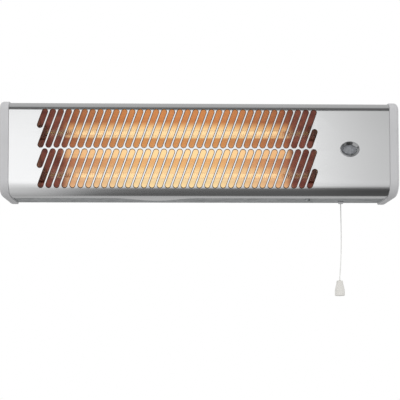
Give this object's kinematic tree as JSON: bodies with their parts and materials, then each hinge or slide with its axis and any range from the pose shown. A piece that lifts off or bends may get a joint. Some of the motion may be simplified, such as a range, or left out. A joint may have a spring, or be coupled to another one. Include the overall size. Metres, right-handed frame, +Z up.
{
  "type": "electric bar heater",
  "caption": "Wall-mounted infrared bar heater: slotted steel front, quartz tubes over a bright reflector, tilting wall bracket, pilot light and pull-cord switch.",
  "frame": {"origin": "the back face of the wall bracket, in the middle of its length and level with the middle of the heater's body", "axes": "+X runs to the right along the heater for someone facing it, +Y points into the wall, so the heater faces -Y, and +Z is up"},
  "size_m": [0.544, 0.1093, 0.2634],
  "materials": {
    "polished_steel": "polished stainless sheet with a fine horizontal grain",
    "zinc_steel": "zinc-plated sheet steel and hardware",
    "bright_aluminium": "mirror-bright rolled aluminium",
    "chrome": "polished chrome plate",
    "grey_plastic": "light grey satin moulded plastic",
    "white_plastic": "off-white moulded plastic",
    "black_plastic": "black moulded plastic",
    "quartz": "clear fused quartz",
    "hot_wire": "resistance wire glowing orange",
    "ceramic": "unglazed cream steatite ceramic",
    "brass": "bright brass",
    "lens": "smoky translucent plastic lens",
    "rubber": "black rubber",
    "white_cord": "white braided cord",
    "brown_sleeve": "brown heat-resistant wire sleeve",
    "blue_sleeve": "blue heat-resistant wire sleeve",
    "white_sleeve": "white glass-fibre wire sleeve"
  },
  "bodies": {
    "wall_side": {"wall_bracket": "zinc_steel", "pivot_bolt_left": "zinc_steel", "pivot_bolt_right": "zinc_steel", "pivot_nut_left": "zinc_steel", "pivot_nut_right": "zinc_steel"},
    "heater_body": {"front_cover": "polished_steel", "cover_screw_left": "polished_steel", "cover_screw_right": "polished_steel", "rear_housing": "zinc_steel", "left_bulkhead": "zinc_steel", "right_bulkhead": "zinc_steel", "hinge_lug_left": "zinc_steel", "hinge_lug_right": "zinc_steel", "return_spring": "zinc_steel", "cap_screw_left_upper": "zinc_steel", "cap_screw_left_lower": "zinc_steel", "cap_screw_right_upper": "zinc_steel", "cap_screw_right_lower": "zinc_steel", "bulkhead_screw_left": "zinc_steel", "bulkhead_screw_right": "zinc_steel", "terminal_screw": "zinc_steel", "clamp_screw_1": "zinc_steel", "clamp_screw_2": "zinc_steel", "reflector": "bright_aluminium", "pilot_bezel": "chrome", "left_end_cap": "grey_plastic", "right_end_cap": "grey_plastic", "cord_gland": "grey_plastic", "terminal_block": "white_plastic", "switch_body": "black_plastic", "pilot_lamp_holder": "black_plastic", "cable_clamp": "black_plastic", "thermal_cutout": "black_plastic", "quartz_tube_upper": "quartz", "quartz_tube_lower": "quartz", "pilot_lamp": "quartz", "heating_coil_upper": "hot_wire", "heating_coil_lower": "hot_wire", "ceramic_holder_left_upper": "ceramic", "ceramic_holder_left_lower": "ceramic", "ceramic_holder_right_upper": "ceramic", "ceramic_holder_right_lower": "ceramic", "coil_lead_left_upper": "brass", "coil_lead_left_lower": "brass", "coil_lead_right_upper": "brass", "coil_lead_right_lower": "brass", "earth_screw": "brass", "pilot_lens": "lens", "cable_grommet": "rubber", "wire_live": "brown_sleeve", "wire_switched": "brown_sleeve", "wire_neutral": "blue_sleeve", "wire_cutout": "white_sleeve", "wire_link": "white_sleeve"},
    "switch_wheel": {"switch_rotor": "white_plastic"},
    "pull": {"switch_plunger": "white_plastic", "inner_cord": "white_cord"},
    "hanging_cord": {"pull_cord": "white_cord", "pull_knob": "white_plastic"}
  },
  "joints": [
    {"name": "tilt", "type": "hinge", "parent": "wall_side", "child": "heater_body", "pos_m": [0, -0.012, -0.04], "axis": [1, 0, 0], "range_deg": [0, 30]},
    {"name": "cord_pull", "type": "slide", "parent": "heater_body", "child": "pull", "axis": [0, 0, -1], "range_m": [0, 0.008], "stiffness_N_per_m": 300, "springref_m": -0.004, "deforming": ["return_spring"]},
    {"name": "switch_step", "type": "hinge", "parent": "heater_body", "child": "switch_wheel", "pos_m": [0.2033, -0.0331, -0.0188], "axis": [0, 1, 0], "range_deg": [0, 45]},
    {"name": "cord_swing", "type": "hinge", "parent": "pull", "child": "hanging_cord", "pos_m": [0.2033, -0.0368, -0.0654], "axis": [1, 0, 0], "range_deg": [-30, 0]}
  ],
  "couplings": [
    {"joint": "switch_step", "follows": "cord_pull", "rad_per_m": 98.17},
    {"joint": "cord_swing", "follows": "tilt", "ratio": -1}
  ]
}
